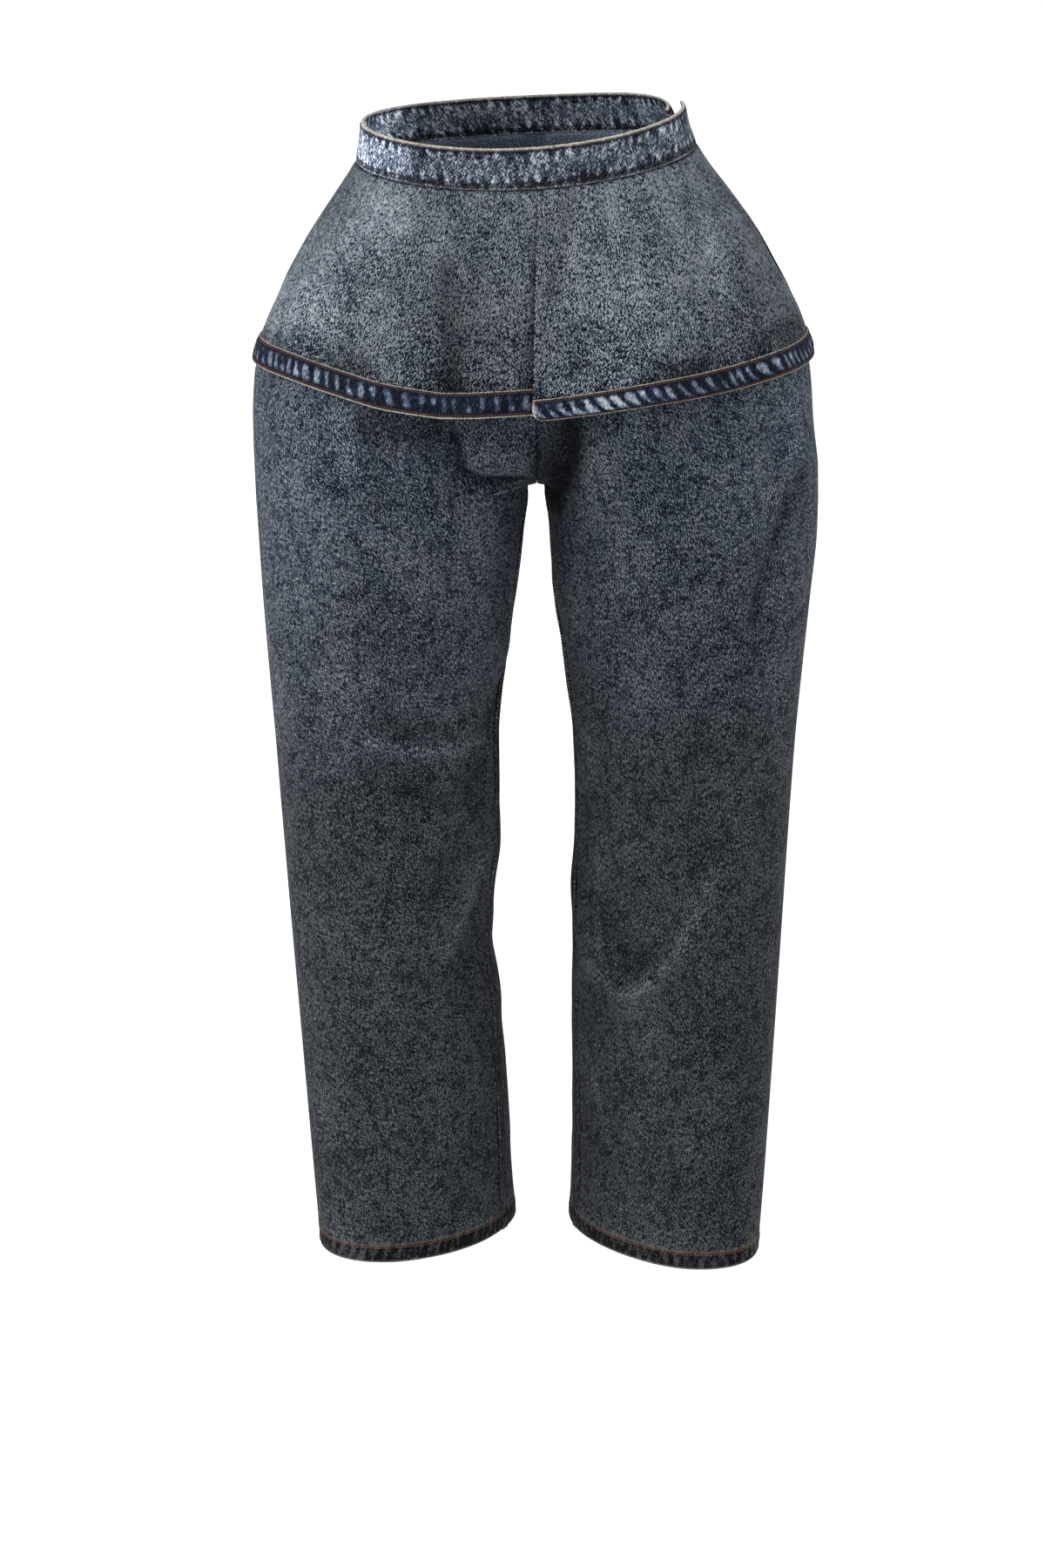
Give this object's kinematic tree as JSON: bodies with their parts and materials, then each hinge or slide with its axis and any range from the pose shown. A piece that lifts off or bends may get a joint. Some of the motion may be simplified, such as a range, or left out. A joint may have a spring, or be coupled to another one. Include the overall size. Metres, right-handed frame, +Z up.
{
  "type": "wide-leg peplum trousers",
  "caption": "High-waisted wide-leg denim trousers with an attached bell-shaped peplum, filled out as worn, open at waist and hems.",
  "frame": {"origin": "middle of the waist opening at the waist seam's mean height at the sides, where the wearer's waist holds the garment up", "axes": "+Z up, +Y towards the wearer's back, +X towards the wearer's left"},
  "size_m": [0.4875, 0.3878, 1.0123],
  "materials": {
    "stone_washed_denim": "mottled stone-washed indigo twill",
    "waistband_denim": "double stone-washed denim with pale worn edges",
    "dark_band_denim": "dark indigo denim with pale rope marks between two rows of stitching"
  },
  "bodies": {
    "root": {"waistband_front": "waistband_denim", "waistband_back": "waistband_denim", "peplum_front_right": "stone_washed_denim", "peplum_front_left": "stone_washed_denim", "peplum_back": "stone_washed_denim", "peplum_band_front_right": "dark_band_denim", "peplum_band_front_left": "dark_band_denim", "peplum_band_back": "dark_band_denim", "leg_front_right": "stone_washed_denim", "leg_front_left": "stone_washed_denim", "leg_back_right": "stone_washed_denim", "leg_back_left": "stone_washed_denim"}
  },
  "joints": []
}
